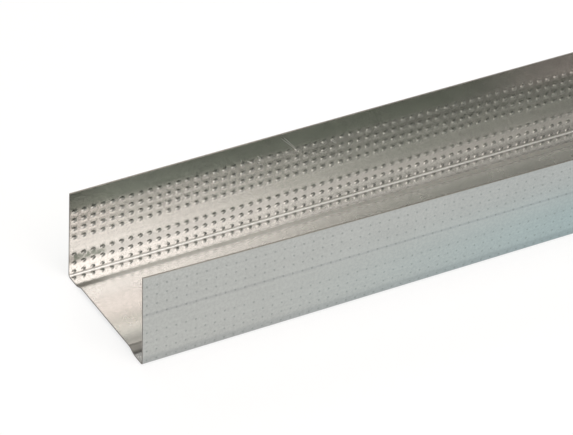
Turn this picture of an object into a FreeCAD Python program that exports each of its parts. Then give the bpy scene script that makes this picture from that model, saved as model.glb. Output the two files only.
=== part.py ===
import FreeCAD, Part
import math
import os
import Sketcher

# One piece of rolled track, lying on the floor as it is stored.
# X runs along the stock, Y across the web, Z up, with the open side upwards.

# Lengths are in millimetres and the slope is in degrees.
SIZES = {
    "track_length": 3000.0,     # the length the stock is sold in
    "web_width": 48.0,          # across the outsides of the two legs
    "leg_height": 30.0,         # from the floor to the cut edge of a leg
    "sheet_thickness": 0.55,    # of the galvanised strip
    "corner_radius": 0.5,       # inside of the bend between a leg and the web
    "edge_strip": 4.7,          # from the outside of a leg to the start of the step
    "web_rise": 1.1,            # of the middle of the web above the edge strips
    "step_slope": 25.0,         # of the ramp between an edge strip and the web
    "step_radius": 4.0,         # inside of both bends of the step
}
FACE_TOLERANCE = 0.001

# A sketch numbers the points of a line or an arc in this order.
POINTS = ("edge", "start", "end", "centre")
START = POINTS.index("start")
END = POINTS.index("end")

# A sketch's own axes are numbered down from -1, and its origin is the first one's start.
HORIZONTAL_AXIS = -1
VERTICAL_AXIS = HORIZONTAL_AXIS - 1
ORIGIN = (HORIZONTAL_AXIS, START)

# The two halves of the section, each named by the sign of its Y.
LEFT = -1
RIGHT = -LEFT


def add_sizes(doc):
    """The sheet of named sizes that everything else is bound to."""
    sheet = doc.addObject("Spreadsheet::Sheet", "sizes")
    for row, (name, value) in enumerate(SIZES.items(), start=1):
        sheet.set(f"A{row}", name)
        sheet.set(f"B{row}", str(value))
        sheet.setAlias(f"B{row}", name)
    doc.recompute()
    return sheet


def add_line(sketch, first, last):
    start = FreeCAD.Vector(first[0], first[1], 0.0)
    end = FreeCAD.Vector(last[0], last[1], 0.0)
    return sketch.addGeometry(Part.LineSegment(start, end))


def add_bend(sketch, side, centre, radius, first, last):
    """An arc given for the right side. On the left its angles are mirrored."""
    if side == LEFT:
        first, last = math.pi - last, math.pi - first
    middle = FreeCAD.Vector(side * centre[0], centre[1], 0.0)
    circle = Part.Circle(middle, FreeCAD.Vector(0.0, 0.0, 1.0), radius)
    return sketch.addGeometry(Part.ArcOfCircle(circle, first, last))


def bind(sketch, name, constraint, expression):
    """A dimension of the sketch that follows the sheet."""
    number = sketch.addConstraint(constraint)
    sketch.renameConstraint(number, name)
    sketch.setExpression(f"Constraints.{name}", expression)


def add_half(sketch, sheet, side):
    """The underside of one half of the section, from the leg's edge to the web."""
    half_width = sheet.web_width / 2.0
    corner = sheet.corner_radius + sheet.sheet_thickness
    foot = sheet.step_radius + sheet.sheet_thickness
    head = sheet.step_radius
    slope = math.radians(sheet.step_slope)
    quarter = math.pi / 2.0

    # The ramp starts where the foot's bend has turned by the slope.
    foot_y = half_width - sheet.edge_strip
    ramp_low = (foot_y - foot * math.sin(slope), foot - foot * math.cos(slope))
    ramp_top = sheet.web_rise - head + head * math.cos(slope)
    ramp_run = (ramp_top - ramp_low[1]) / math.tan(slope)
    ramp_high = (ramp_low[0] - ramp_run, ramp_top)
    head_y = ramp_high[0] - head * math.sin(slope)

    leg = add_line(sketch, (side * half_width, sheet.leg_height), (side * half_width, corner))
    corner_bend = add_bend(sketch, side, (half_width - corner, corner), corner, -quarter, 0.0)
    strip = add_line(sketch, (side * (half_width - corner), 0.0), (side * foot_y, 0.0))
    foot_bend = add_bend(sketch, side, (foot_y, foot), foot, -quarter - slope, -quarter)
    ramp = add_line(sketch, (side * ramp_low[0], ramp_low[1]), (side * ramp_high[0], ramp_high[1]))
    head_centre = (head_y, sheet.web_rise - head)
    head_bend = add_bend(sketch, side, head_centre, head, quarter - slope, quarter)

    # An arc runs anticlockwise, so which end faces the leg depends on the side.
    outer, inner = (END, START) if side == RIGHT else (START, END)
    sketch.addConstraint([
        Sketcher.Constraint("Vertical", leg),
        Sketcher.Constraint("Horizontal", strip),
        Sketcher.Constraint("PointOnObject", strip, END, HORIZONTAL_AXIS),
        Sketcher.Constraint("Tangent", leg, END, corner_bend, outer),
        Sketcher.Constraint("Tangent", corner_bend, inner, strip, START),
        Sketcher.Constraint("Tangent", strip, END, foot_bend, outer),
        Sketcher.Constraint("Tangent", foot_bend, inner, ramp, START),
        Sketcher.Constraint("Tangent", ramp, END, head_bend, inner),
    ])

    word = "right" if side == RIGHT else "left"
    bind(sketch, f"corner_{word}", Sketcher.Constraint("Radius", corner_bend, corner),
         "sizes.corner_radius + sizes.sheet_thickness")
    bind(sketch, f"foot_{word}", Sketcher.Constraint("Radius", foot_bend, foot),
         "sizes.step_radius + sizes.sheet_thickness")
    bind(sketch, f"head_{word}", Sketcher.Constraint("Radius", head_bend, head),
         "sizes.step_radius")
    bind(sketch, f"slope_{word}", Sketcher.Constraint("Angle", foot_bend, slope),
         "sizes.step_slope * 1 deg")
    points = (strip, END, leg, END) if side == RIGHT else (leg, END, strip, END)
    bind(sketch, f"strip_{word}", Sketcher.Constraint("DistanceX", *points, sheet.edge_strip),
         "sizes.edge_strip")

    web_point = (side * head_y, sheet.web_rise)
    return {"leg": leg, "head": head_bend, "web_end": outer, "web_point": web_point}


def add_section(body, sheet):
    """A closed outline of the underside of the section, with the open top drawn shut."""
    sketch = body.newObject("Sketcher::SketchObject", "section")
    planes = {feature.Role: feature for feature in body.Origin.OriginFeatures}
    sketch.AttachmentSupport = [(planes["YZ_Plane"], "")]
    sketch.MapMode = "FlatFace"

    right = add_half(sketch, sheet, RIGHT)
    left = add_half(sketch, sheet, LEFT)
    half_width = sheet.web_width / 2.0
    web = add_line(sketch, right["web_point"], left["web_point"])
    mouth = add_line(sketch, (half_width, sheet.leg_height), (-half_width, sheet.leg_height))

    sketch.addConstraint([
        Sketcher.Constraint("Tangent", right["head"], right["web_end"], web, START),
        Sketcher.Constraint("Tangent", left["head"], left["web_end"], web, END),
        Sketcher.Constraint("Horizontal", web),
        Sketcher.Constraint("Coincident", mouth, START, right["leg"], START),
        Sketcher.Constraint("Coincident", mouth, END, left["leg"], START),
        Sketcher.Constraint("Symmetric", mouth, START, mouth, END, VERTICAL_AXIS),
    ])
    bind(sketch, "web_width",
         Sketcher.Constraint("DistanceX", mouth, END, mouth, START, sheet.web_width),
         "sizes.web_width")
    bind(sketch, "leg_height",
         Sketcher.Constraint("DistanceY", *ORIGIN, right["leg"], START, sheet.leg_height),
         "sizes.leg_height")
    bind(sketch, "web_rise",
         Sketcher.Constraint("DistanceY", *ORIGIN, web, START, sheet.web_rise),
         "sizes.web_rise")
    return sketch


def open_faces(shape):
    """The two cut ends and the mouth between the legs, where the stock has no metal."""
    box = shape.BoundBox
    names = []
    for number, face in enumerate(shape.Faces, start=1):
        edge = face.BoundBox
        at_end = min(abs(edge.XMin - box.XMax), abs(edge.XMax - box.XMin)) < FACE_TOLERANCE
        at_mouth = abs(edge.ZMin - box.ZMax) < FACE_TOLERANCE
        if at_end or at_mouth:
            names.append(f"Face{number}")
    return names


def add_track(doc, sheet):
    """The section drawn out to the stock's length and hollowed to sheet thickness."""
    body = doc.addObject("PartDesign::Body", "track")
    body.Label = "drywall_track"
    sketch = add_section(body, sheet)
    doc.recompute()

    pad = body.newObject("PartDesign::Pad", "length")
    pad.Profile = sketch
    pad.SideType = "Symmetric"
    pad.setExpression("Length", "sizes.track_length")
    doc.recompute()

    wall = body.newObject("PartDesign::Thickness", "wall")
    wall.Base = (pad, open_faces(pad.Shape))
    wall.Reversed = True
    wall.setExpression("Value", "sizes.sheet_thickness")
    body.Tip = wall
    doc.recompute()
    return body


def check(doc, body):
    """Stop here if any step of the model has failed."""
    for item in doc.Objects:
        if "Invalid" in item.State or "Error" in item.State:
            raise RuntimeError(f"{item.Name} failed: {item.State}")
    if body.Shape.isNull() or not body.Shape.isValid():
        raise RuntimeError(f"{body.Label} has no valid shape")


document = FreeCAD.newDocument("drywall_track")
size_sheet = add_sizes(document)
track = add_track(document, size_sheet)
check(document, track)
os.makedirs("parts", exist_ok=True)
track.Shape.exportStep(f"parts/{track.Label}.step")
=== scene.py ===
import math

import bpy
import numpy as np
from mathutils import Matrix, Vector


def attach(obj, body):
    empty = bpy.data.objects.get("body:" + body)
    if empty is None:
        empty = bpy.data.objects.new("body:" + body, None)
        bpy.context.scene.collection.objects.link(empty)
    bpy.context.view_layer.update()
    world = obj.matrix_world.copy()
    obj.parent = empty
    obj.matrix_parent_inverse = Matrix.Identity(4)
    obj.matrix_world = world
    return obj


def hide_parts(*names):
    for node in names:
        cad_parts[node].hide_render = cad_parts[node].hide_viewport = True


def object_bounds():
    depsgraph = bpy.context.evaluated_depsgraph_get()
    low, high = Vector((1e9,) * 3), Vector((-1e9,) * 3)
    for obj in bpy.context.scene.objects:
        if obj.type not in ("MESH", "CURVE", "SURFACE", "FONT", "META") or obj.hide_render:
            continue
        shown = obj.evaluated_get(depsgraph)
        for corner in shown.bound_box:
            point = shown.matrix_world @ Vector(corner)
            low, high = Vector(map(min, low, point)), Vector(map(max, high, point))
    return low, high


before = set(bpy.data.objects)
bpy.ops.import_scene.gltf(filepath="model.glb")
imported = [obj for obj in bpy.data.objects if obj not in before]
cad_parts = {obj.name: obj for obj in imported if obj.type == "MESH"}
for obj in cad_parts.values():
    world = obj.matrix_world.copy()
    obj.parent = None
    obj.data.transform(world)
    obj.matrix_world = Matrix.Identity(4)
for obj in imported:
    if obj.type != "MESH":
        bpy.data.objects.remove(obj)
cad_low, cad_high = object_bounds()
x_start, x_end = cad_low.x, cad_high.x

# Sizes of the rolled section in metres, the same as the solid's.
WEB_WIDTH = 0.048
LEG_HEIGHT = 0.030
SHEET = 0.00055
CORNER_RADIUS = 0.0005
EDGE_STRIP = 0.0047
WEB_RISE = 0.0011
STEP_SLOPE = math.radians(25.0)
STEP_RADIUS = 0.0040
# The share of the step's slope that its shading shows.
STEP_SHADE = 0.4
# A bend is drawn with at least so many flats, and with more where it turns further.
BEND_FLATS = 5
BEND_ANGLE = math.radians(15.0)

# The pressed dimples: raised bumps on the inside of the legs, sunk dents on the outside.
PITCH = 0.003067
FIRST_CENTRE = 0.00138
SIDE_SHIFT = 0.00013
BUMP_RADIUS = 0.00083
SMALLEST_BUMP = 0.00055
BUMP_STRETCH = 1.12
BUMP_HEIGHT = 0.00030
DENT_RADIUS = 0.00046
DENT_DEPTH = 0.00015
# A bump keeps a little clear of the fold, and so does the edge of its cell.
FOLD_ROOM = 0.95
CELL_ROOM = 1.05
# Shares of the full height, and how far the shading leans along the stock and across the sheet.
UPPER_ROWS = 0.019
UPPER_PRESS = 0.75
UPPER_LEAN = (0.19, 0.09)
LOWER_PRESS = 0.62
LOWER_LEAN = (0.13, -0.06)
# Around each row the sheet is shaded as a low ridge.
RIDGE = 0.06
# The points around a dimple, and those of them that face the first corner of its cell.
RING = 8
RING_AT_CORNER = (6, 5, 4)
# Rows as distances along the sheet from the leg's cut edge, in millimetres.
FAR_ROWS = (6.68, 9.75, 12.82, 15.89, 22.03, 25.10, 28.17)
NEAR_ROWS = (3.30, 6.46, 9.61, 12.77, 19.08, 22.24, 25.40, 28.55)
MILLIMETRE = 0.001

# How far each leg's top stands over to the far side, at the sawn end and well along from it,
# the distance over which the one passes into the other, and where both fade out.
NEAR_LEAN = (0.0, -0.00449)
FAR_LEAN = (-0.00112, 0.00082)
LEAN_REACH = 0.15
LEAN_FADE = (0.18, 0.60)

# The map of the sheet runs along the stock and across the sheet from the far leg's edge.
# The outside and the cut edges lie further across it, so each has a part of the map to itself.
OUTSIDE_FROM = 0.15
OUTSIDE_LIFT = 0.2
CUT_FROM = 0.43
EDGE_PLACES = (0.44, 0.45)
END_PLACES = (0.50, 0.51)
CUT_WIDTH = 0.0005

# The track is made in this many lengths, because a piece may have only so many triangles.
LENGTHS = 5
ALONG = np.array([1.0, 0.0, 0.0])
UP = np.array([0.0, 0.0, 1.0])
# Lines closer than this are one line. The others allow for rounding.
SAME_LINE = 5e-5
ON_LINE = 1e-6
ON_RUN = 1e-12


def section_runs():
    """The middle of the sheet as straight runs and bends: (length, turn in radians)."""
    half = SHEET / 2
    corner = CORNER_RADIUS + half
    step = STEP_RADIUS + half
    leg = LEG_HEIGHT - CORNER_RADIUS - SHEET
    strip = EDGE_STRIP - CORNER_RADIUS - SHEET
    ramp_rise = WEB_RISE - 2 * step * (1 - math.cos(STEP_SLOPE))
    ramp = ramp_rise / math.sin(STEP_SLOPE)
    step_run = 2 * step * math.sin(STEP_SLOPE) + ramp * math.cos(STEP_SLOPE)
    web = WEB_WIDTH - 2 * (EDGE_STRIP + step_run)
    side = [
        (leg, 0.0),
        (corner * math.pi / 2, -math.pi / 2),
        (strip, 0.0),
        (step * STEP_SLOPE, -STEP_SLOPE),
        (ramp, 0.0),
        (step * STEP_SLOPE, STEP_SLOPE),
    ]
    return side, web


SIDE, WEB = section_runs()
RUNS = SIDE + [(WEB, 0.0)] + SIDE[::-1]
TOTAL = sum(length for length, turn in RUNS)
LEG_RUN = SIDE[0][0]
# The step begins past the leg, the bend at its foot and half of the strip.
STEP_FROM = LEG_RUN + SIDE[1][0] + SIDE[2][0] / 2


def section_at(s):
    """Points of the middle of the sheet and the normals towards the inside, at distances s."""
    s = np.atleast_1d(np.asarray(s, float))
    point = np.zeros((len(s), 2))
    normal = np.zeros((len(s), 2))
    y, z = WEB_WIDTH / 2 - SHEET / 2, LEG_HEIGHT
    heading = -math.pi / 2
    begun = 0.0
    for number, (length, turn) in enumerate(RUNS):
        last = number == len(RUNS) - 1
        here = (s >= begun - ON_RUN) & ((s < begun + length) | last)
        along = s[here] - begun
        if turn:
            radius = length / turn
            angle = heading + along / radius
            point[here, 0] = y + radius * (np.sin(angle) - math.sin(heading))
            point[here, 1] = z - radius * (np.cos(angle) - math.cos(heading))
            end = heading + turn
            y += radius * (math.sin(end) - math.sin(heading))
            z -= radius * (math.cos(end) - math.cos(heading))
        else:
            angle = np.full(len(along), heading)
            point[here, 0] = y + along * math.cos(heading)
            point[here, 1] = z + along * math.sin(heading)
            y += length * math.cos(heading)
            z += length * math.sin(heading)
        normal[here, 0] = np.cos(angle - math.pi / 2)
        normal[here, 1] = np.sin(angle - math.pi / 2)
        heading += turn
        begun += length
    return point, normal


def bump_radius(row):
    """Smaller where a row runs close to the fold."""
    room = FOLD_ROOM * (LEG_RUN - min(row, TOTAL - row))
    return max(SMALLEST_BUMP, min(BUMP_RADIUS, room))


def row_cells(rows):
    """The strip of sheet around each row on one leg: (low, high, row)."""
    reach = PITCH / 2
    cells = []
    for number, row in enumerate(rows):
        low, high = row - reach, row + reach
        if number > 0:
            low = max(low, (row + rows[number - 1]) / 2)
        if number + 1 < len(rows):
            high = min(high, (row + rows[number + 1]) / 2)
        if high > LEG_RUN:
            high = row + bump_radius(row) * CELL_ROOM
        cells.append((low, high, row))
    return cells


def side_lines(cells):
    """Lines along the sheet on one half, from the cut edge to the web."""
    lines = {0.0}
    for low, high, row in cells:
        lines |= {low, high}
    begun = 0.0
    for length, turn in SIDE:
        if turn:
            count = max(BEND_FLATS, round(abs(turn) / BEND_ANGLE))
            lines |= {begun + length * k / count for k in range(count + 1)}
        begun += length
        lines.add(begun)
    kept = []
    for s in sorted(lines):
        in_cell = any(low + ON_LINE < s < high - ON_LINE for low, high, row in cells)
        if not in_cell and (not kept or s - kept[-1] > SAME_LINE):
            kept.append(s)
    return kept


far_cells = row_cells([row * MILLIMETRE for row in FAR_ROWS])
near_cells = row_cells([row * MILLIMETRE for row in NEAR_ROWS])
LINES = np.array(side_lines(far_cells) + [TOTAL - s for s in side_lines(near_cells)[::-1]])
ROWS = [(low, row, SIDE_SHIFT) for low, high, row in far_cells]
ROWS += [(TOTAL - high, TOTAL - row, -SIDE_SHIFT) for low, high, row in near_cells]
ROW_OF_CELL = {int(np.argmin(abs(LINES - low))): (row, shift) for low, row, shift in ROWS}

row_length = x_end - x_start - FIRST_CENTRE - SIDE_SHIFT - BUMP_RADIUS * BUMP_STRETCH
COLUMNS = int(row_length / PITCH) + 1
CUTS = x_start + FIRST_CENTRE + PITCH * (np.arange(COLUMNS + 1) - 0.5)
CUTS[0], CUTS[-1] = x_start, x_end


def unit(vectors):
    return vectors / np.linalg.norm(vectors, axis=1, keepdims=True)


def softened(s, normal):
    """The steps' bends are drawn out so softly that they shade as gentler slopes."""
    on_step = np.minimum(s, TOTAL - s) > STEP_FROM
    tilt = np.where(on_step, STEP_SHADE, 1.0) * normal[:, 0]
    return unit(np.stack([tilt, normal[:, 1]], 1))


def turned(vectors, angle):
    """Vectors across the stock, turned by one angle each."""
    y, z = vectors.T
    cos, sin = np.cos(angle), np.sin(angle)
    return np.stack([y * cos + z * sin, z * cos - y * sin], 1)


def leaned(x, s, point, normal):
    """Turns each leg about its bend near the sawn end, where the stock has sprung a little."""
    along = x - x_start
    far_pivot, near_pivot = section_at([LEG_RUN, TOTAL - LEG_RUN])[0]
    near = s > TOTAL / 2
    end, rest = np.where(near[:, None], NEAR_LEAN, FAR_LEAN).T
    lean = rest + (end - rest) * np.exp(-along / LEAN_REACH)
    fade = np.clip((along - LEAN_FADE[0]) / (LEAN_FADE[1] - LEAN_FADE[0]), 0.0, 1.0)
    lean = lean * (1.0 - fade * fade * (3.0 - 2.0 * fade))
    on_leg = np.minimum(s, TOTAL - s) < LEG_RUN
    angle = np.where(on_leg, lean / LEG_RUN, 0.0)
    pivot = np.where(near[:, None], near_pivot, far_pivot)
    return pivot + turned(point - pivot, angle), turned(normal, angle)


def place(x, s, rise):
    """Points in space for distances along and across the sheet, raised by rise along the normal."""
    point, normal = section_at(s)
    point, normal = leaned(x, s, point + normal * rise, softened(s, normal))
    return np.column_stack([x, point]), np.column_stack([np.zeros(len(x)), normal])


class Builder:
    """Gathers points and faces, with a normal and a place on the map for each face corner."""

    def __init__(self):
        self.points, self.sunk, self.count = [], [], 0
        self.corners, self.normals, self.maps, self.sizes = [], [], [], []

    def add_points(self, points, sunk=0.0):
        first = self.count
        self.points.append(points)
        self.sunk.append(np.full(len(points), sunk))
        self.count += len(points)
        return first

    def add_faces(self, corners, normals, places):
        """corners is (faces, n); normals (faces, n, 3); places (faces, n, 2)."""
        self.corners.append(corners.reshape(-1))
        self.normals.append(normals.reshape(-1, 3))
        self.maps.append(places.reshape(-1, 2))
        self.sizes.append(np.full(len(corners), corners.shape[1]))

    def mesh(self, name):
        points = np.concatenate(self.points).astype(np.float32)
        corners = np.concatenate(self.corners).astype(np.int32)
        sizes = np.concatenate(self.sizes).astype(np.int32)
        starts = np.concatenate([[0], np.cumsum(sizes)[:-1]]).astype(np.int32)
        mesh = bpy.data.meshes.new(name)
        mesh.vertices.add(len(points))
        mesh.vertices.foreach_set("co", points.reshape(-1))
        mesh.loops.add(len(corners))
        mesh.loops.foreach_set("vertex_index", corners)
        mesh.polygons.add(len(sizes))
        mesh.polygons.foreach_set("loop_start", starts)
        mesh.polygons.foreach_set("use_smooth", np.ones(len(sizes), bool))
        uv_layer = mesh.uv_layers.new(name="sheet")
        uv_layer.uv.foreach_set("vector", np.concatenate(self.maps).astype(np.float32).reshape(-1))
        sunk = mesh.attributes.new("sunk", "FLOAT", "POINT")
        sunk.data.foreach_set("value", np.concatenate(self.sunk).astype(np.float32))
        mesh.update(calc_edges=True)
        mesh.normals_split_custom_set(np.concatenate(self.normals).tolist())
        return mesh


def picked(part, which):
    """Some of the corners of a part, which holds points, normals and places on the map."""
    return [values[which] for values in part]


def across_way(normals):
    """The direction across the sheet, from the far leg's edge towards the near leg's."""
    return np.column_stack([np.zeros(len(normals)), -normals[:, 2], normals[:, 1]])


def dimple_size(row, inside):
    """Half the length along the stock, half the width across it, and the rise or depth."""
    upper = min(row, TOTAL - row) < UPPER_ROWS
    press = UPPER_PRESS if upper else LOWER_PRESS
    if not inside:
        return DENT_RADIUS, DENT_RADIUS, DENT_DEPTH * press
    radius = bump_radius(row)
    return radius * BUMP_STRETCH, radius, BUMP_HEIGHT * radius / BUMP_RADIUS * press


def row_parts(made, columns, row, shift, first, inside):
    """The points of one row of dimples: around each for the sheet, around it for the dome, its top."""
    sign, lift = (1.0, 0.0) if inside else (-1.0, OUTSIDE_LIFT)
    long, radius, rise = dimple_size(row, inside)
    turn = np.arange(RING) * 2 * math.pi / RING
    top_x = x_start + FIRST_CENTRE + shift + PITCH * np.arange(first, first + columns)
    top_s = np.full(columns, row)
    ring_x = (top_x[:, None] + long * np.cos(turn)).reshape(-1)
    ring_s = np.tile(row + radius * np.sin(turn), columns)
    ring_points, ring_inward = place(ring_x, ring_s, sign * SHEET / 2)
    top_points, top_inward = place(top_x, top_s, sign * SHEET / 2 + rise)

    # The tilted normals at the rim make the eight flats read as one round dome.
    reach = np.hypot(long * np.cos(turn), radius * np.sin(turn))
    rim = np.tile(np.arctan(2 * rise / reach), columns)[:, None]
    away = np.tile(unit(np.column_stack([np.cos(turn) / long, np.sin(turn) / radius])), (columns, 1))
    out = away[:, :1] * ALONG + away[:, 1:] * across_way(ring_inward)
    rim_normals = sign * (ring_inward * np.cos(rim) + out * np.sin(rim))
    ring_normals, top_normals = sign * ring_inward, sign * top_inward
    if inside:
        lean_along, lean_across = UPPER_LEAN if min(row, TOTAL - row) < UPPER_ROWS else LOWER_LEAN
        way = across_way(top_inward)
        lean = lean_along * ALONG + lean_across * way
        top_normals = unit(top_normals + lean)
        rim_normals = unit(rim_normals + np.repeat(lean, RING, axis=0))
        ridge = RIDGE * np.tile(np.sin(turn), columns)[:, None] * np.repeat(way, RING, axis=0)
        ring_normals = unit(ring_normals + ridge)

    ring = made.add_points(ring_points) + np.arange(len(ring_points))
    top = made.add_points(top_points, 0.0 if inside else 1.0) + np.arange(columns)
    ring_places = np.column_stack([ring_x - x_start, ring_s + lift])
    top_places = np.column_stack([top_x - x_start, top_s + lift])
    return (ring, ring_normals, ring_places), (ring, rim_normals, ring_places), (top, top_normals, top_places)


def add_row(made, grid, cells, row, shift, first, inside):
    """A row of dimples, each in one cell of the grid."""
    columns = len(cells)
    around, edge, top = row_parts(made, columns, row, shift, first, inside)
    number = np.arange(columns * RING).reshape(columns, RING)
    corners = [picked(grid, cells[:, k]) for k in range(4)]
    ring = [picked(around, number[:, k]) for k in range(RING)]
    rim = [picked(edge, number[:, k]) for k in range(RING)]
    triangles = []
    for k in range(4):
        here, after = corners[k], corners[(k + 1) % 4]
        facing, middle, last = [ring[(start + 2 * k) % RING] for start in RING_AT_CORNER]
        triangles += [(here, after, facing), (here, facing, middle), (here, middle, last)]
    triangles += [(top, rim[k], rim[(k + 1) % RING]) for k in range(RING)]
    for parts in triangles:
        if inside:
            parts = parts[::-1]
        made.add_faces(*[np.stack(values, 1) for values in zip(*parts)])


def add_side(made, index, cuts, first, inside):
    """One side of the sheet: plain strips, and a dimple in each cell of a row."""
    sign, lift = (1.0, 0.0) if inside else (-1.0, OUTSIDE_LIFT)
    grid_x = np.repeat(cuts, len(LINES))
    grid_s = np.tile(LINES, len(cuts))
    points, inward = place(grid_x, grid_s, sign * SHEET / 2)
    start = made.add_points(points)
    places = np.column_stack([grid_x - x_start, grid_s + lift])
    grid = (start + np.arange(len(points)), sign * inward, places)

    cells = np.stack([index[:-1, :-1], index[1:, :-1], index[1:, 1:], index[:-1, 1:]], -1)
    plain = [j for j in range(len(LINES) - 1) if j not in ROW_OF_CELL]
    quads = cells[:, plain].reshape(-1, 4)
    made.add_faces(*picked(grid, quads[:, ::-1] if inside else quads))
    for j, (row, shift) in ROW_OF_CELL.items():
        add_row(made, grid, cells[:, j], row, shift, first, inside)
    return start


def add_top_edges(made, index, cuts, inner, outer):
    """The sheared edges along the tops of the two legs."""
    for line, mapped, order in ((0, EDGE_PLACES[0], 1), (len(LINES) - 1, EDGE_PLACES[1], -1)):
        i = index[:, line]
        quads = np.stack([inner + i[:-1], inner + i[1:], outer + i[1:], outer + i[:-1]], 1)
        along = np.stack([cuts[:-1], cuts[1:], cuts[1:], cuts[:-1]], 1) - x_start
        across = np.tile(np.array([0.0, 0.0, CUT_WIDTH, CUT_WIDTH]) + mapped, (len(quads), 1))
        places = np.stack([along, across], -1)
        made.add_faces(quads[:, ::order], np.tile(UP, (len(quads), 4, 1)), places[:, ::order])


def add_ends(made, index, inner, outer):
    """The two ends of a length, across the thickness of the sheet."""
    for column, mapped, order in ((0, END_PLACES[0], 1), (len(index) - 1, END_PLACES[1], -1)):
        i = index[column]
        quads = np.stack([inner + i[:-1], outer + i[:-1], outer + i[1:], inner + i[1:]], 1)
        s = np.stack([LINES[:-1], LINES[:-1], LINES[1:], LINES[1:]], 1)
        depth = np.tile(np.array([0.0, CUT_WIDTH, CUT_WIDTH, 0.0]) + mapped, (len(quads), 1))
        places = np.stack([s, depth], -1)
        made.add_faces(quads[:, ::order], np.tile(-order * ALONG, (len(quads), 4, 1)), places[:, ::order])


def length_mesh(name, first, last):
    """One length of the track, from column first to column last, as a closed mesh."""
    made = Builder()
    cuts = CUTS[first:last + 1]
    index = np.arange(len(cuts) * len(LINES)).reshape(len(cuts), len(LINES))
    inner = add_side(made, index, cuts, first, True)
    outer = add_side(made, index, cuts, first, False)
    add_top_edges(made, index, cuts, inner, outer)
    add_ends(made, index, inner, outer)
    return made.mesh(name)


def add_object(name, data):
    made = bpy.data.objects.new(name, data)
    bpy.context.scene.collection.objects.link(made)
    return made


class Material:
    """A node material, with short ways to add the nodes that are used here."""

    def __init__(self, name):
        self.data = bpy.data.materials.new(name)
        self.data.use_nodes = True
        self.tree = self.data.node_tree
        self.inputs = self.tree.nodes["Principled BSDF"].inputs

    def node(self, kind):
        return self.tree.nodes.new(kind)

    def wire(self, socket, value):
        """Sets an input to a number or a colour, or joins it to another node's output."""
        if isinstance(value, bpy.types.NodeSocket):
            self.tree.links.new(value, socket)
        else:
            socket.default_value = value

    def calc(self, operation, first, *others):
        """The first value with each of the others in turn."""
        result = first
        for value in others:
            made = self.node("ShaderNodeMath")
            made.operation = operation
            self.wire(made.inputs[0], result)
            self.wire(made.inputs[1], value)
            result = made.outputs[0]
        return result

    def times(self, *values):
        return self.calc("MULTIPLY", *values)

    def plus(self, *values):
        return self.calc("ADD", *values)

    def minus(self, first, second):
        return self.calc("SUBTRACT", first, second)

    def ramp(self, value, span, start=0.0, end=1.0):
        """A smooth change from start to end while the value crosses the span."""
        made = self.node("ShaderNodeMapRange")
        made.interpolation_type = "SMOOTHSTEP"
        for socket, number in zip(made.inputs, (value, *span, start, end)):
            self.wire(socket, number)
        return made.outputs[0]

    def fade(self, value, span):
        return self.ramp(value, span, 1.0, 0.0)

    def near(self, value, centre, span):
        """One near the centre, falling to nothing where the distance from it crosses the span."""
        made = self.node("ShaderNodeMath")
        made.operation = "ABSOLUTE"
        self.wire(made.inputs[0], self.minus(value, centre))
        return self.fade(made.outputs[0], span)

    def blend(self, factor, first, second, kind="MIX"):
        made = self.node("ShaderNodeMix")
        made.data_type = "RGBA"
        made.blend_type = kind
        self.wire(made.inputs["Factor"], factor)
        self.wire(made.inputs["A"], first)
        self.wire(made.inputs["B"], second)
        return made.outputs["Result"]

    def tint(self, colour, mask, tint):
        """The colour, multiplied by the tint where the mask is one."""
        return self.blend(mask, colour, (*tint, 1.0), "MULTIPLY")

    def noise(self, vector, scale, detail, roughness):
        made = self.node("ShaderNodeTexNoise")
        made.noise_dimensions = "2D"
        self.wire(made.inputs["Vector"], vector)
        made.inputs["Scale"].default_value = scale
        made.inputs["Detail"].default_value = detail
        made.inputs["Roughness"].default_value = roughness
        return made.outputs["Fac"]

    def stretched(self, along, across, scales):
        """A place on the map, with its own scale each way."""
        made = self.node("ShaderNodeCombineXYZ")
        self.wire(made.inputs["X"], self.times(along, scales[0]))
        self.wire(made.inputs["Y"], self.times(across, scales[1]))
        return made.outputs[0]


# The galvanised surface. Places are metres along from the sawn end, or from a leg's cut edge.
steel = Material("galvanised_steel")
sheet_map = steel.node("ShaderNodeUVMap")
sheet_map.uv_map = "sheet"
flat = sheet_map.outputs[0]
split = steel.node("ShaderNodeSeparateXYZ")
steel.wire(split.inputs[0], flat)
along, across = split.outputs["X"], split.outputs["Y"]
cut = steel.calc("GREATER_THAN", across, CUT_FROM)
outside = steel.minus(steel.calc("GREATER_THAN", across, OUTSIDE_FROM), cut)
inside = steel.calc("LESS_THAN", across, OUTSIDE_FROM)
over_sheet = steel.minus(across, steel.times(outside, OUTSIDE_LIFT))
from_edge = steel.calc("MINIMUM", over_sheet, steel.minus(TOTAL, over_sheet))

# Marks from the rolls run along the stock. The zinc is clouded and finely grained.
# A noise is given as its scale, detail and roughness.
ROLL_STRETCH = (5.0, 700.0)
ROLL_NOISE = (1.0, 3.0, 0.6)
CLOUD_NOISE = (70.0, 3.0, 0.55)
GRAIN_NOISE = (1100.0, 2.0, 0.6)
ROLL_SHARE = 0.7
CLOUD_SHARE = 0.6
GRAIN_SHARE = 1.6
INSIDE_DARK = (0.545, 0.540, 0.523, 1.0)
INSIDE_LIGHT = (0.615, 0.609, 0.590, 1.0)
# The outside is a darker copy of the inside's zinc: painted shade.
OUTSIDE_DARK = (0.428, 0.437, 0.420, 1.0)
OUTSIDE_LIGHT = (0.504, 0.515, 0.495, 1.0)
MIDDLE_TONE = 0.5
roll_lines = steel.noise(steel.stretched(along, across, ROLL_STRETCH), *ROLL_NOISE)
clouds = steel.noise(flat, *CLOUD_NOISE)
grain = steel.noise(flat, *GRAIN_NOISE)
tone = MIDDLE_TONE
for pattern, share in ((roll_lines, ROLL_SHARE), (clouds, CLOUD_SHARE), (grain, GRAIN_SHARE)):
    tone = steel.plus(tone, steel.times(steel.minus(pattern, MIDDLE_TONE), share))
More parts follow.
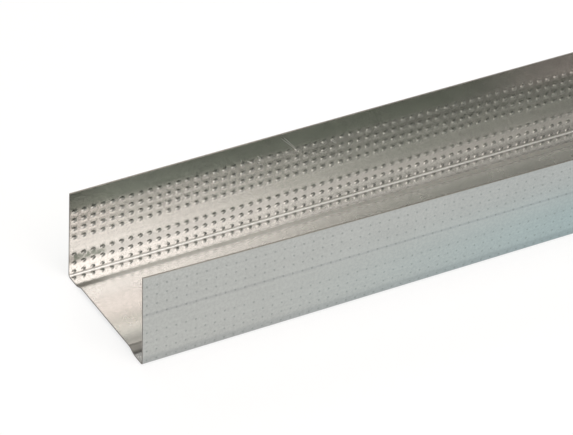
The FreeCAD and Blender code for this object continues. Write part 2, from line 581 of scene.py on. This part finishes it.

# Tones of the inside, which are painted shade and a painted reflection. A span is where a change starts and
# where it is complete.
RIM_DEPTH = (0.0045, 0.0078)
RIM_END = (0.120, 0.165)
RIM_REST = 0.2
RIM_SHADE_TINT = (0.72, 0.785, 0.72)
SAWN_END_RIM_SHADE_REACH = (0.020, 0.115)
SAWN_END_RIM_SHADE_TINT = (0.71, 0.72, 0.73)
ROWS_TOP = (0.0055, 0.0080)
ROWS_FOOT = (0.0190, 0.0240)
ROWS_START = (0.030, 0.130)
ROWS_SHADE_TINT = (0.73, 0.755, 0.73)
PALE_START = (0.135, 0.172)
PALE_END = (0.22, 0.30)
PALE_DEPTH = (0.004, 0.012)
PALE_REFLECTION_TINT = (1.55, 1.42, 1.45)


def inside_tones(colour):
    """Painted shade and a painted reflection: the rim above the dimples is darker and greener, most at the
    sawn end, the zinc among the dimples is darker along the stock, and a lighter patch lies on the rim
    further along.
    """
    # Painted shade: the rim above the dimples is darker and greener, fading further along, and darker still
    # at the sawn end.
    rim = steel.times(inside, steel.fade(from_edge, RIM_DEPTH))
    rim = steel.times(rim, steel.ramp(along, RIM_END, 1.0, RIM_REST))
    colour = steel.tint(colour, rim, RIM_SHADE_TINT)
    colour = steel.tint(colour, steel.times(rim, steel.fade(along, SAWN_END_RIM_SHADE_REACH)), SAWN_END_RIM_SHADE_TINT)
    # Painted shade: among the dimples the zinc is darker, starting a little way along.
    rows = steel.times(steel.ramp(from_edge, ROWS_TOP), steel.fade(from_edge, ROWS_FOOT))
    rows = steel.times(rows, inside, steel.ramp(along, ROWS_START))
    colour = steel.tint(colour, rows, ROWS_SHADE_TINT)
    # A painted reflection: a lighter, pinker patch on the rim further along.
    pale = steel.times(steel.ramp(along, PALE_START), steel.fade(along, PALE_END))
    pale = steel.times(pale, inside, steel.fade(from_edge, PALE_DEPTH))
    return steel.tint(colour, pale, PALE_REFLECTION_TINT)


# Tones of the outside, which are painted shade and a painted reflection.
DRIFT_STRETCH = (4.0, 20.0)
DRIFT_NOISE = (1.0, 2.0, 0.5)
DRIFT_SPAN = (0.25, 0.55)
DRIFT_LEAST = 0.5
SHADE_ALONG_START = (0.02, 0.19)
SHADE_ALONG_TINT = (0.88, 0.90, 0.92)
BLUE_DEPTH = (0.002, 0.024)
BLUE_LEAST = 0.1
BLUE_REFLECTION_TINT = (0.83, 1.02, 1.06)
DENT_SHADE_TINT = (0.60, 0.63, 0.64)
LINE_AT = 0.0128
LINE_SPAN = (0.0002, 0.0006)
LINE_SHADE_TINT = (0.90, 0.90, 0.91)
FOOT_SPAN = (0.0264, 0.0280)
FOOT_SHADE_TINT = (0.84, 0.85, 0.86)


def outside_tones(colour):
    """Painted shade and a painted reflection: the outside turns darker and bluer along the stock, the lower
    the bluer, and painted shade darkens the dent centres, the pressed line and the foot.
    """
    drift = steel.noise(steel.stretched(along, across, DRIFT_STRETCH), *DRIFT_NOISE)
    # Painted shade: the outside is darker along the stock, in drifts.
    shade_along = steel.times(steel.ramp(along, SHADE_ALONG_START), outside)
    shade_along = steel.times(shade_along, steel.ramp(drift, DRIFT_SPAN, DRIFT_LEAST, 1.0))
    colour = steel.tint(colour, shade_along, SHADE_ALONG_TINT)
    # A painted reflection: the outside turns bluer along the stock, most towards its foot.
    blue_reflection = steel.times(shade_along, steel.ramp(from_edge, BLUE_DEPTH, BLUE_LEAST, 1.0))
    colour = steel.tint(colour, blue_reflection, BLUE_REFLECTION_TINT)
    # Painted shade in the dents, darkest at each dent's centre.
    dent_shade = steel.node("ShaderNodeAttribute")
    dent_shade.attribute_name = "sunk"
    colour = steel.tint(colour, dent_shade.outputs["Fac"], DENT_SHADE_TINT)
    # Painted shade along the pressed line.
    pressed_line_shade = steel.times(steel.near(from_edge, LINE_AT, LINE_SPAN), outside)
    colour = steel.tint(colour, pressed_line_shade, LINE_SHADE_TINT)
    # Painted shade towards the foot of the outside.
    foot = steel.times(steel.ramp(from_edge, FOOT_SPAN), outside)
    return steel.tint(colour, foot, FOOT_SHADE_TINT)


# Where the sheet is bent on the inside: the fold, the crease just above it and the step.
FOLD_AT = LEG_RUN + 0.0006
FOLD_SPAN = (0.0003, 0.0010)
CREASE_AT = LEG_RUN - 0.0001
CREASE_SPAN = (0.0001, 0.0005)
CREASE_SHADE_TINT = (0.76, 0.76, 0.75)
STEP_AT = LEG_RUN + 0.0071
STEP_SPAN = (0.0010, 0.0024)
STEP_LIGHT_TINT = (1.08, 1.08, 1.08)
STEP_SHADE_ALONG_START = (0.05, 0.13)
STEP_SHADE_ALONG_TINT = (0.88, 0.88, 0.87)
fold = steel.times(steel.near(from_edge, FOLD_AT, FOLD_SPAN), inside)
# This mask carries a painted shade line in the crease.
crease = steel.times(steel.near(from_edge, CREASE_AT, CREASE_SPAN), inside)
step = steel.times(steel.near(from_edge, STEP_AT, STEP_SPAN), inside)


def bend_tones(colour):
    """Painted shade and light: a dark line of painted shade lies in the crease, and the step is painted a
    little lighter at first and painted darker along the stock as shade.
    """
    # Painted light: the step is a little lighter at first. Painted shade: it darkens along the stock.
    colour = steel.tint(colour, step, STEP_LIGHT_TINT)
    colour = steel.tint(colour, steel.times(step, steel.ramp(along, STEP_SHADE_ALONG_START)), STEP_SHADE_ALONG_TINT)
    # Painted shade: a dark line in the crease.
    return steel.tint(colour, crease, CREASE_SHADE_TINT)


# Painted light and shade at the sawn end.
SAWN_REACH = (0.010, 0.035)
WEB_HALF = (TOTAL / 2 - 0.016, TOTAL / 2)
WEB_DEPTH = (0.0400, 0.0470)
WEB_LIGHT_TINT = (1.20, 1.15, 1.14)
WEB_SHADE_START = (0.0368, 0.0378)
WEB_SHADE_END = (0.0380, 0.0490)
WEB_SHADE_TINT = (0.27, 0.265, 0.26)
CORNER_SHADE_DEPTH = (0.0345, 0.0362)
CORNER_SHADE_GRAIN = (0.25, 0.60)
CORNER_SHADE_LEAST = 0.8
CORNER_SHADE_TINT = (0.14, 0.144, 0.15)
END_STEP_SHADE_REACH = (0.001, 0.012)
END_STEP_SHADE_TINT = (0.55, 0.53, 0.51)


def sawn_end_tones(colour):
    """Painted light and shade: the web is painted lighter there, and painted shade darkens the web beside the
    near step, the near corner and the steps.
    """
    at_end = steel.times(inside, steel.fade(along, SAWN_REACH))
    # Painted light: the near half of the web is lighter at the sawn end.
    pale = steel.times(at_end, steel.ramp(across, WEB_HALF), steel.ramp(from_edge, WEB_DEPTH))
    colour = steel.tint(colour, pale, WEB_LIGHT_TINT)
    corner = steel.times(at_end, steel.calc("GREATER_THAN", across, TOTAL / 2))
    # Painted shade on the web beside the near step.
    web_shade = steel.times(corner, steel.ramp(from_edge, WEB_SHADE_START), steel.fade(from_edge, WEB_SHADE_END))
    colour = steel.tint(colour, web_shade, WEB_SHADE_TINT)
    # Painted shade in the near corner, patchy with the grain.
    corner_shade = steel.times(corner, steel.fade(from_edge, CORNER_SHADE_DEPTH))
    corner_shade = steel.times(corner_shade, steel.ramp(grain, CORNER_SHADE_GRAIN, CORNER_SHADE_LEAST, 1.0))
    colour = steel.tint(colour, corner_shade, CORNER_SHADE_TINT)
    # Painted shade on the steps at the sawn end.
    end_step_shade = steel.times(step, steel.fade(along, END_STEP_SHADE_REACH))
    return steel.tint(colour, end_step_shade, END_STEP_SHADE_TINT)


# A dull smudge between two rows near the sawn end.
SMUDGE_START = (0.0002, 0.0015)
SMUDGE_END = (0.009, 0.0135)
SMUDGE_AT = 0.0233
SMUDGE_SPAN = (0.0006, 0.0016)
SMUDGE_NOISE = (700.0, 3.0, 0.6)
SMUDGE_PATCHES = (0.30, 0.60)
SMUDGE_TINT = (0.50, 0.55, 0.50)
smudge = steel.times(steel.ramp(along, SMUDGE_START), steel.fade(along, SMUDGE_END))
smudge = steel.times(smudge, steel.near(across, SMUDGE_AT, SMUDGE_SPAN))
smudge = steel.times(smudge, steel.ramp(steel.noise(flat, *SMUDGE_NOISE), SMUDGE_PATCHES))

# Scratches on the inside: both ends as places along and across in millimetres, and the width.
SCRATCHES = (
    ((68.8, 0.8), (76.0, 8.2), 0.16),
    ((69.9, 0.9), (74.8, 6.6), 0.13),
    ((61.3, 5.2), (62.9, 6.7), 0.22),
    ((61.2, 7.5), (63.4, 9.2), 0.20),
    ((57.8, 5.9), (59.9, 7.3), 0.18),
    ((56.1, 4.9), (56.3, 6.3), 0.14),
    ((86.6, 7.1), (88.8, 8.9), 0.14),
)
# Shares of a scratch's length over which each tip tapers, and of its width that is fully bright.
TIP_SHARE = 0.25
CORE_SHARE = 1 / 3
SCRATCH_STRENGTH = 0.7
SCRATCH_COLOUR = (0.80, 0.80, 0.78, 1.0)


def scratch(first, last, width):
    """A thin straight mark that tapers off towards both ends."""
    length = math.dist(first, last)
    run, drop = (last[0] - first[0]) / length, (last[1] - first[1]) / length
    length *= MILLIMETRE
    width *= MILLIMETRE
    x = steel.minus(along, first[0] * MILLIMETRE)
    s = steel.minus(across, first[1] * MILLIMETRE)
    forth = steel.plus(steel.times(x, run), steel.times(s, drop))
    body = steel.near(steel.times(x, drop), steel.times(s, run), (width * CORE_SHARE, width))
    first_tip = steel.ramp(forth, (0.0, length * TIP_SHARE))
    last_tip = steel.fade(forth, (length * (1.0 - TIP_SHARE), length))
    return steel.times(body, first_tip, last_tip)


scratches = steel.calc("MAXIMUM", *[scratch(*line) for line in SCRATCHES])

# The colour, with each kind of mark over the last. The sawn and sheared edges are dark.
CUT_COLOUR = (0.17, 0.155, 0.14, 1.0)
zinc_inside = steel.blend(tone, INSIDE_DARK, INSIDE_LIGHT)
# The outside's darker zinc is painted shade.
shaded_zinc_outside = steel.blend(tone, OUTSIDE_DARK, OUTSIDE_LIGHT)
zinc = steel.blend(outside, zinc_inside, shaded_zinc_outside)
for toned in (inside_tones, outside_tones, bend_tones, sawn_end_tones):
    zinc = toned(zinc)
zinc = steel.tint(zinc, smudge, SMUDGE_TINT)
zinc = steel.blend(steel.times(scratches, SCRATCH_STRENGTH), zinc, SCRATCH_COLOUR)
zinc = steel.blend(cut, zinc, CUT_COLOUR)
steel.wire(steel.inputs["Base Color"], zinc)
steel.inputs["Metallic"].default_value = 1.0

# The roughness, which clouds and each kind of mark add to.
ROUGHNESS = 0.20
CLOUD_ROUGHNESS = 0.08
WEB_SPAN = (0.0370, 0.0400)
web = steel.ramp(from_edge, WEB_SPAN)
rough = steel.plus(ROUGHNESS, steel.times(steel.minus(clouds, MIDDLE_TONE), CLOUD_ROUGHNESS))
for mask, more in ((cut, 0.20), (fold, 0.12), (step, 0.20), (web, 0.07), (scratches, 0.35), (smudge, 0.15)):
    rough = steel.plus(rough, steel.times(mask, more))
steel.wire(steel.inputs["Roughness"], rough)

# The lengths of the track.
bounds = np.linspace(0, COLUMNS, LENGTHS + 1).round().astype(int)
for number in range(LENGTHS):
    name = f"track_length_{number + 1}"
    piece = add_object(name, length_mesh(name, bounds[number], bounds[number + 1]))
    piece.data.materials.append(steel.data)
    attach(piece, "root")
    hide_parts("drywall_track")

# The paper of the floor and the backdrop. It is seen, also in the metal, as white, and keeps the shadow.
PAPER_COLOUR = (0.28, 0.28, 0.28, 1.0)
PAPER_ROUGHNESS = 0.9
PAPER_GLOW = 0.73
WHITE = (1.0, 1.0, 1.0, 1.0)
paper = Material("floor_paper")
paper.inputs["Base Color"].default_value = PAPER_COLOUR
paper.inputs["Roughness"].default_value = PAPER_ROUGHNESS
paper.inputs["Specular IOR Level"].default_value = 0.0
paper.inputs["Emission Color"].default_value = WHITE
rays = paper.node("ShaderNodeLightPath").outputs
seen = paper.plus(rays["Is Camera Ray"], rays["Is Glossy Ray"], rays["Is Transmission Ray"])
paper.wire(paper.inputs["Emission Strength"], paper.times(seen, PAPER_GLOW))

# A wide floor, and a round wall far behind it, so that low views see no horizon.
REACH = 60.0
WALL_HEIGHT = 9.0
WALL_SIDES = 64
floor_mesh = bpy.data.meshes.new("floor")
floor_corners = [(-REACH, -REACH, 0.0), (REACH, -REACH, 0.0), (REACH, REACH, 0.0), (-REACH, REACH, 0.0)]
floor_mesh.from_pydata(floor_corners, [], [(0, 1, 2, 3)])
floor = add_object("floor", floor_mesh)

wall_mesh = bpy.data.meshes.new("backdrop")
wall_turns = [2 * math.pi * k / WALL_SIDES for k in range(WALL_SIDES)]
wall_foot = [(REACH * math.cos(turn), REACH * math.sin(turn), 0.0) for turn in wall_turns]
wall_top = [(x, y, WALL_HEIGHT) for x, y, z in wall_foot]
wall_faces = []
for k in range(WALL_SIDES):
    after = (k + 1) % WALL_SIDES
    wall_faces.append((k, after, WALL_SIDES + after, WALL_SIDES + k))
wall_mesh.from_pydata(wall_foot + wall_top, [], wall_faces)
backdrop = add_object("backdrop", wall_mesh)
for sheet in (floor, backdrop):
    sheet.data.materials.append(paper.data)

# The room: an even pale light from all around.
WORLD_LIGHT = 0.22
world = bpy.data.worlds.new("studio")
bpy.context.scene.world = world
world.use_nodes = True
background = world.node_tree.nodes["Background"]
background.inputs["Color"].default_value = WHITE
background.inputs["Strength"].default_value = WORLD_LIGHT


def softbox(name, place_at, aim, size, radiance, colour):
    """A flat lamp that the camera doesn't see, as bright as its radiance says from any distance."""
    data = bpy.data.lights.new(name, "AREA")
    data.shape = "RECTANGLE"
    data.size, data.size_y = size
    data.energy = radiance * math.pi * size[0] * size[1]
    data.color = colour
    lamp = add_object(name, data)
    lamp.location = place_at
    lamp.rotation_mode = "QUATERNION"
    lamp.rotation_quaternion = (Vector(aim) - Vector(place_at)).to_track_quat("-Z", "Y")
    lamp.visible_camera = False


# Boxes in front, beside and behind light the sawn end. Long ones above and behind light the whole length.
SAWN_END = (-1.42, 0.0, 0.02)
MIDDLE = (0.0, 0.0, 0.0)
LEFT_OF_MIDDLE = (-0.2, 0.0, 0.0)
KEY_SIZE, KEY_COLOUR = (0.55, 0.49), (1.0, 0.930, 0.905)
softbox("low key", (-1.2525, -0.863, 0.725), SAWN_END, KEY_SIZE, 3.9, KEY_COLOUR)
softbox("high key", (-1.32, -0.481, 1.025), SAWN_END, KEY_SIZE, 3.7, KEY_COLOUR)
softbox("side", (-0.832, -0.70, 0.76), SAWN_END, (0.36, 0.30), 1.0, (1.0, 0.985, 0.91))
softbox("top", (-1.38, -0.06, 1.15), SAWN_END, (0.50, 0.40), 1.4, (1.0, 0.97, 0.95))
softbox("front", (-1.86, -0.80, 0.98), SAWN_END, (0.50, 0.45), 3.0, (1.0, 0.98, 0.95))
softbox("overhead", (0.0, 0.0, 1.8), MIDDLE, (4.2, 1.3), 0.85, (1.0, 1.0, 0.93))
softbox("back", (-0.2, 1.5, 1.2), LEFT_OF_MIDDLE, (3.8, 0.5), 0.48, (0.97, 1.0, 0.90))
softbox("back left", (-0.93, 1.37, 1.11), SAWN_END, (0.50, 0.50), 3.7, (1.0, 0.965, 0.905))
softbox("low back", (-0.2, 1.5, 0.62), LEFT_OF_MIDDLE, (3.8, 0.4), 2.2, (0.98, 1.0, 0.92))

# The camera: where it stands, its turn from +Y, its fall below level, its roll and its lens.
CAMERA_PLACE = (-1.809099, -0.633564, 0.519081)
CAMERA_TURN = math.radians(30.14149)
CAMERA_FALL = math.radians(34.38509)
CAMERA_ROLL = math.radians(-2.09827)
SENSOR_MM, LENS_MM = 36.0, 191.9067


def camera_axes():
    """The directions to the right of the picture, up it and back from it."""
    level = math.cos(CAMERA_FALL)
    ahead = (math.sin(CAMERA_TURN) * level, math.cos(CAMERA_TURN) * level, -math.sin(CAMERA_FALL))
    forward = Vector(ahead)
    right = Vector((math.cos(CAMERA_TURN), -math.sin(CAMERA_TURN), 0.0))
    down = forward.cross(right)
    rolled_right = right * math.cos(CAMERA_ROLL) + down * math.sin(CAMERA_ROLL)
    rolled_down = down * math.cos(CAMERA_ROLL) - right * math.sin(CAMERA_ROLL)
    return rolled_right, -rolled_down, -forward


lens = bpy.data.cameras.new("camera")
lens.sensor_width = SENSOR_MM
lens.lens = LENS_MM
camera = add_object("camera", lens)
camera_turn = Matrix(camera_axes()).transposed().to_4x4()
camera.matrix_world = Matrix.Translation(CAMERA_PLACE) @ camera_turn
bpy.context.scene.camera = camera
bpy.context.scene.view_settings.view_transform = "Standard"
